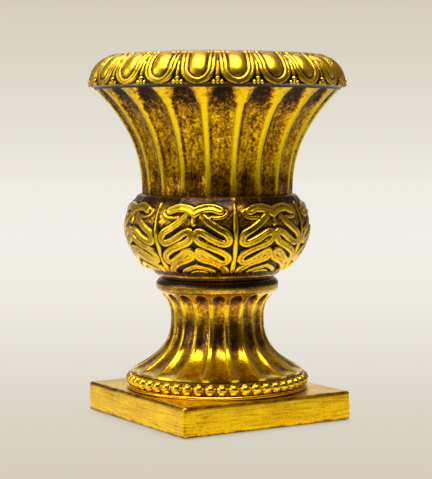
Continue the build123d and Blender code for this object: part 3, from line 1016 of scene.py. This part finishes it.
# the clamp: a threaded rod between nuts and washers, and a rubber seal
rod = {
    "radius": 3.95 * mm,
    "pitch": 1.25 * mm,
    "threadDeep": 0.6 * mm,
    "columns": 16,
    "rowsPerPitch": 4,
    "chamfer": 0.9 * mm,
}
zincSteel = {"tint": srgb(176, 174, 166), "rough": 0.3, "grain": 500, "bump": 0.4, "bumpDepth": 0.1 * mm}
sealRubber = {"dark": srgb(18, 17, 16), "pale": srgb(46, 43, 40), "grain": 900,
              "bump": 0.5, "bumpDepth": 0.1 * mm}


def steelMaterial(name, finish):
    material, tree, shader = newMaterial(name)
    tint, rough = finish["tint"], finish["rough"]
    blotch = rescale(tree, grainField(tree, finish["grain"] / 6, detail=4), 0.35, 0.65, 0, 1)
    fine = grainField(tree, finish["grain"], detail=4, rough=0.65)
    darker = tuple(value * 0.45 for value in tint[:3]) + (1,)
    tree.links.new(mixColours(tree, blotch, tint, darker), shader.inputs["Base Color"])
    shader.inputs["Metallic"].default_value = 1
    tree.links.new(rescale(tree, fine, 0.3, 0.7, rough * 0.75, rough * 1.35), shader.inputs["Roughness"])
    addBump(tree, shader, fine, finish["bump"], finish["bumpDepth"])
    return material


def rubberMaterial(name, finish):
    material, tree, shader = newMaterial(name)
    fine = grainField(tree, finish["grain"], detail=3)
    tree.links.new(mixColours(tree, fine, finish["dark"], finish["pale"]), shader.inputs["Base Color"])
    tree.links.new(rescale(tree, fine, 0.3, 0.7, 0.6, 0.8), shader.inputs["Roughness"])
    addBump(tree, shader, fine, finish["bump"], finish["bumpDepth"])
    return material


def makeRod(spec, material):
    low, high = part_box("tie_rod")
    rows = int((high.z - low.z) / spec["pitch"] * spec["rowsPerPitch"])
    columns = spec["columns"]
    vertices, faces = [], []
    for row in range(rows + 1):
        height = low.z + (high.z - low.z) * row / rows
        toEnd = min(height - low.z, high.z - height)
        outer = spec["radius"] - max(0, spec["chamfer"] - toEnd)
        for column in range(columns):
            turn = math.tau * column / columns
            phase = (height / spec["pitch"] - turn / math.tau) % 1
            radius = min(outer, spec["radius"] - spec["threadDeep"] * abs(2 * phase - 1))
            vertices.append((radius * math.cos(turn), radius * math.sin(turn), height))
    for row in range(rows):
        start, above = row * columns, (row + 1) * columns
        for column in range(columns):
            beside = (column + 1) % columns
            faces.append((start + column, start + beside, above + beside, above + column))
    faces.append(tuple(reversed(range(columns))))
    faces.append(tuple(range(rows * columns, (rows + 1) * columns)))
    mesh = bpy.data.meshes.new("threadedRod")
    mesh.from_pydata(vertices, [], faces)
    shadeSmooth(mesh)
    mesh.set_sharp_from_angle(angle=math.radians(50))
    mesh.materials.append(material)
    piece = newPiece("threadedRod", mesh)
    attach(piece, "root")
    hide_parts("tie_rod")


clampSteel = steelMaterial("zincSteel", zincSteel)
makeRod(rod, clampSteel)
for node in ("lower_washer", "lower_nut", "upper_washer", "upper_nut"):
    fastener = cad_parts[node]
    fastener.data.materials.clear()
    fastener.data.materials.append(clampSteel)
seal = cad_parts["rubber_seal"]
seal.data.materials.clear()
seal.data.materials.append(rubberMaterial("sealRubber", sealRubber))
print("clamp made")


# the felt under the plinth: a square ring of rows between the hole and the sides
felt = {
    "side": 146 * mm,
    "corner": 3 * mm,
    "hole": 13 * mm,                          # radius
    "rings": 22, "perSide": 48,
    "inset": 0.2 * mm,                        # how far the pile stays inside the flat sheet's edge
    "fuzz": 0.12 * mm,
}
baize = {"dark": srgb(16, 22, 17), "pale": srgb(58, 70, 54), "rough": 0.95, "sheen": 0.35,
         "fibreScale": 1400, "clumpScale": 160, "bump": 0.7, "bumpDepth": 0.2 * mm}


def makeFelt(spec):
    low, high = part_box("base_felt")
    rings, columns = spec["rings"], spec["perSide"] * 4
    reachToSide = spec["side"] / 2 - spec["inset"]
    reachToCorner = (spec["side"] / 2 - spec["corner"]) * math.sqrt(2) + spec["corner"]
    vertices, faces = [], []
    random = np.random.default_rng(4)
    for side in (low.z, high.z):
        for ring in range(rings + 1):
            share = ring / rings
            for column in range(columns):
                turn = math.tau * (column + 0.5) / columns
                toSide = reachToSide / max(abs(math.cos(turn)), abs(math.sin(turn)))
                toSide = min(toSide, reachToCorner)
                reach = spec["hole"] + (toSide - spec["hole"]) * share
                fuzz = spec["fuzz"] * float(random.random()) * (1 if side == low.z else -1)
                vertices.append((reach * math.cos(turn), reach * math.sin(turn), side + fuzz))
    layer = (rings + 1) * columns
    for ring in range(rings):
        for column in range(columns):
            beside = (column + 1) % columns
            inner, outer = ring * columns, (ring + 1) * columns
            under = (inner + beside, outer + beside, outer + column, inner + column)
            faces.append(under)
            faces.append(tuple(layer + corner for corner in reversed(under)))
    outer = rings * columns
    for column in range(columns):
        beside = (column + 1) % columns
        faces.append((column, layer + column, layer + beside, beside))
        faces.append((outer + beside, layer + outer + beside, layer + outer + column, outer + column))
    mesh = bpy.data.meshes.new("baseFelt")
    mesh.from_pydata(vertices, [], faces)
    shadeSmooth(mesh)
    mesh.set_sharp_from_angle(angle=math.radians(60))
    mesh.materials.append(feltMaterial("baseFelt", baize))
    piece = newPiece("baseFelt", mesh)
    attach(piece, "root")
    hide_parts("base_felt")


def feltMaterial(name, finish):
    material, tree, shader = newMaterial(name)
    fibres = grainField(tree, finish["fibreScale"], stretch=(1, 0.3, 1), detail=5, rough=0.7)
    clumps = grainField(tree, finish["clumpScale"], detail=4)
    shade = calculate(tree, "MULTIPLY_ADD", clumps, 0.5, calculate(tree, "MULTIPLY", fibres, 0.6), clamp=True)
    tree.links.new(mixColours(tree, shade, finish["dark"], finish["pale"]), shader.inputs["Base Color"])
    shader.inputs["Roughness"].default_value = finish["rough"]
    shader.inputs["Sheen Weight"].default_value = finish["sheen"]
    addBump(tree, shader, fibres, finish["bump"], finish["bumpDepth"])
    return material


makeFelt(felt)
print("felt made")


# the studio: a pale floor that runs into a pale backdrop, and a darker room that only the gilding mirrors
studio = {
    "floorRadius": 6.5,
    # floor tones along the line from the camera past the urn, in metres from the urn; the floor glows in them
    # as painted light, darker in front of the urn and brighter behind it
    "floorTones": ((-6.5, (238, 234, 225)), (-1.4, (214, 207, 189)), (-0.4, (211, 204, 186)),
                   (-0.22, (214, 207, 189)), (0.03, (219, 213, 198)), (0.31, (228, 224, 212)),
                   (0.9, (238, 234, 225)), (2.13, (242, 239, 232)), (6.5, (238, 234, 225))),
    "shadowReach": 0.035, "shadowTone": 0.62,
    # backdrop tones by degrees above level
    "skyTones": ((-2, (238, 234, 225)), (0.4, (227, 223, 211)), (2.6, (219, 213, 197)),
                 (4.6, (214, 207, 189)), (30, (206, 199, 180))),
    # what the gilding mirrors, by share of a turn: 0 behind the urn, 0.25 its left, 0.5 the camera's side
    "roomTones": ((0.0, 0.8), (0.04, 0.8), (0.09, 0.2), (0.2, 0.24), (0.27, 0.85), (0.37, 0.85),
                  (0.42, 0.06), (0.5, 0.04), (0.64, 0.05), (0.72, 0.2), (0.93, 0.15), (0.98, 0.8)),
    "brightWall": 0.3,                        # walls above this tone are nearly white, others brown
    "ceiling": (0.28, 0.21, 0.14, 1), "ceilingFrom": (35, 65),
    "floorGlow": 1.5, "floorDim": 0.06,
    "dimAside": 0.42, "asideFrom": (0.14, 0.4),    # the glow that is left well to the sides
    "darkBeyond": (-0.75, -0.42),             # the lit floor ends here, towards the camera
}
viewTurn = math.radians(cameraSetup["turn"])
alongView = (-math.sin(viewTurn), math.cos(viewTurn), 0)
acrossView = (math.cos(viewTurn), math.sin(viewTurn), 0)


def along(tree, vector, axis):
    node = tree.nodes.new("ShaderNodeVectorMath")
    node.operation = "DOT_PRODUCT"
    tree.links.new(vector, node.inputs[0])
    node.inputs[1].default_value = axis
    return node.outputs["Value"]


def cameraSees(tree, seen, mirrored, output):
    # the camera sees one shader, and the gilding mirrors the other
    ray = tree.nodes.new("ShaderNodeLightPath")
    blend = tree.nodes.new("ShaderNodeMixShader")
    tree.links.new(ray.outputs["Is Camera Ray"], blend.inputs[0])
    tree.links.new(mirrored.outputs[0], blend.inputs[1])
    tree.links.new(seen.outputs[0], blend.inputs[2])
    tree.links.new(blend.outputs[0], output.inputs["Surface"])


def glow(tree, colour, strength):
    node = tree.nodes.new("ShaderNodeEmission")
    tree.links.new(colour, node.inputs["Color"])
    tree.links.new(strength, node.inputs["Strength"])
    return node


def floorMaterial(name, spec):
    material, tree, shader = newMaterial(name)
    tree.nodes.remove(shader)
    where = tree.nodes.new("ShaderNodeTexCoord")
    away = along(tree, where.outputs["Object"], alongView)
    wide = 2 * spec["floorRadius"]
    stops = [(place / wide + 0.5, srgb(*colour)) for place, colour in spec["floorTones"]]
    share = calculate(tree, "MULTIPLY_ADD", away, 1 / wide, 0.5, clamp=True)
    tones = rampOf(tree, share, stops)
    shadow = tree.nodes.new("ShaderNodeAmbientOcclusion")
    shadow.inputs["Distance"].default_value = spec["shadowReach"]
    shadow.samples = 8
    shade = rescale(tree, shadow.outputs["AO"], 0.0, 0.85, spec["shadowTone"], 1.0)
    lit = rescale(tree, away, *spec["darkBeyond"], spec["floorDim"], spec["floorGlow"])
    aside = calculate(tree, "ABSOLUTE", along(tree, where.outputs["Object"], acrossView))
    aside = rescale(tree, aside, *spec["asideFrom"], 1.0, spec["dimAside"])
    mirrored = glow(tree, tones, calculate(tree, "MULTIPLY", lit, aside))
    cameraSees(tree, glow(tree, tones, shade), mirrored, tree.nodes["Material Output"])
    return material


def makeFloor(spec):
    mesh = bpy.data.meshes.new("studioFloor")
    shape = bmesh.new()
    bmesh.ops.create_circle(shape, cap_ends=True, segments=96, radius=spec["floorRadius"])
    shape.to_mesh(mesh)
    shape.free()
    mesh.materials.append(floorMaterial("paleFloor", spec))
    floor = newPiece("studioFloor", mesh)
    floor.location.z = -0.1 * mm


def wallColour(tone, spec):
    green, blue = (0.97, 0.9) if tone > spec["brightWall"] else (0.78, 0.55)
    return (tone, tone * green, tone * blue, 1)


def makeWorld(spec):
    world = bpy.data.worlds.new("studio")
    bpy.context.scene.world = world
    world.use_nodes = True
    tree = world.node_tree
    backdrop = tree.nodes["Background"]
    direction = tree.nodes.new("ShaderNodeTexCoord").outputs["Generated"]
    height = calculate(tree, "ARCSINE", along(tree, direction, (0, 0, 1)))
    degrees = calculate(tree, "MULTIPLY", height, 180 / math.pi)
    lowest, highest = spec["skyTones"][0][0], spec["skyTones"][-1][0]
    span = highest - lowest
    stops = [((angle - lowest) / span, srgb(*colour)) for angle, colour in spec["skyTones"]]
    share = calculate(tree, "MULTIPLY_ADD", degrees, 1 / span, -lowest / span, clamp=True)
    tree.links.new(rampOf(tree, share, stops), backdrop.inputs["Color"])
    room = tree.nodes.new("ShaderNodeBackground")
    towards = calculate(tree, "MULTIPLY", along(tree, direction, alongView), -1.0)
    turned = calculate(tree, "ARCTAN2", along(tree, direction, acrossView), towards)
    turned = calculate(tree, "MULTIPLY_ADD", turned, 1 / math.tau, 0.5)
    walls = rampOf(tree, turned, [(place, wallColour(tone, spec)) for place, tone in spec["roomTones"]])
    high = rescale(tree, degrees, *spec["ceilingFrom"], 0, 1)
    tree.links.new(mixColours(tree, high, walls, spec["ceiling"]), room.inputs["Color"])
    cameraSees(tree, backdrop, room, tree.nodes["World Output"])


# azimuth is measured from the camera's side of the urn, positive to the right; aim is a height
lamps = {
    "overheadBox": {"azimuth": -20, "elevation": 76, "distance": 1.8, "wide": 1.6, "tall": 1.3,
                    "power": 42, "aim": 0.15, "tint": (1, 0.98, 0.94)},
    "leftWindow": {"azimuth": -78, "elevation": 18, "distance": 1.5, "wide": 0.35, "tall": 0.9,
                   "power": 2.4, "aim": 0.18, "tint": (1, 0.98, 0.95)},
}


def makeLamp(name, spec):
    data = bpy.data.lights.new(name, "AREA")
    data.energy = spec["power"]
    data.color = spec["tint"]
    data.shape = "RECTANGLE"
    data.size = spec["wide"]
    data.size_y = spec["tall"]
    turn = math.radians(cameraSetup["turn"] + spec["azimuth"])
    rise = math.radians(spec["elevation"])
    flat = spec["distance"] * math.cos(rise)
    aim = Vector((0, 0, spec["aim"]))
    above = spec["distance"] * math.sin(rise)
    light = newPiece(name, data)
    light.location = aim + Vector((math.sin(turn) * flat, -math.cos(turn) * flat, above))
    light.rotation_euler = (aim - light.location).to_track_quat("-Z", "Y").to_euler()


makeFloor(studio)
makeWorld(studio)
for name, spec in lamps.items():
    makeLamp(name, spec)
bpy.context.scene.view_settings.view_transform = "Standard"
print("studio made")
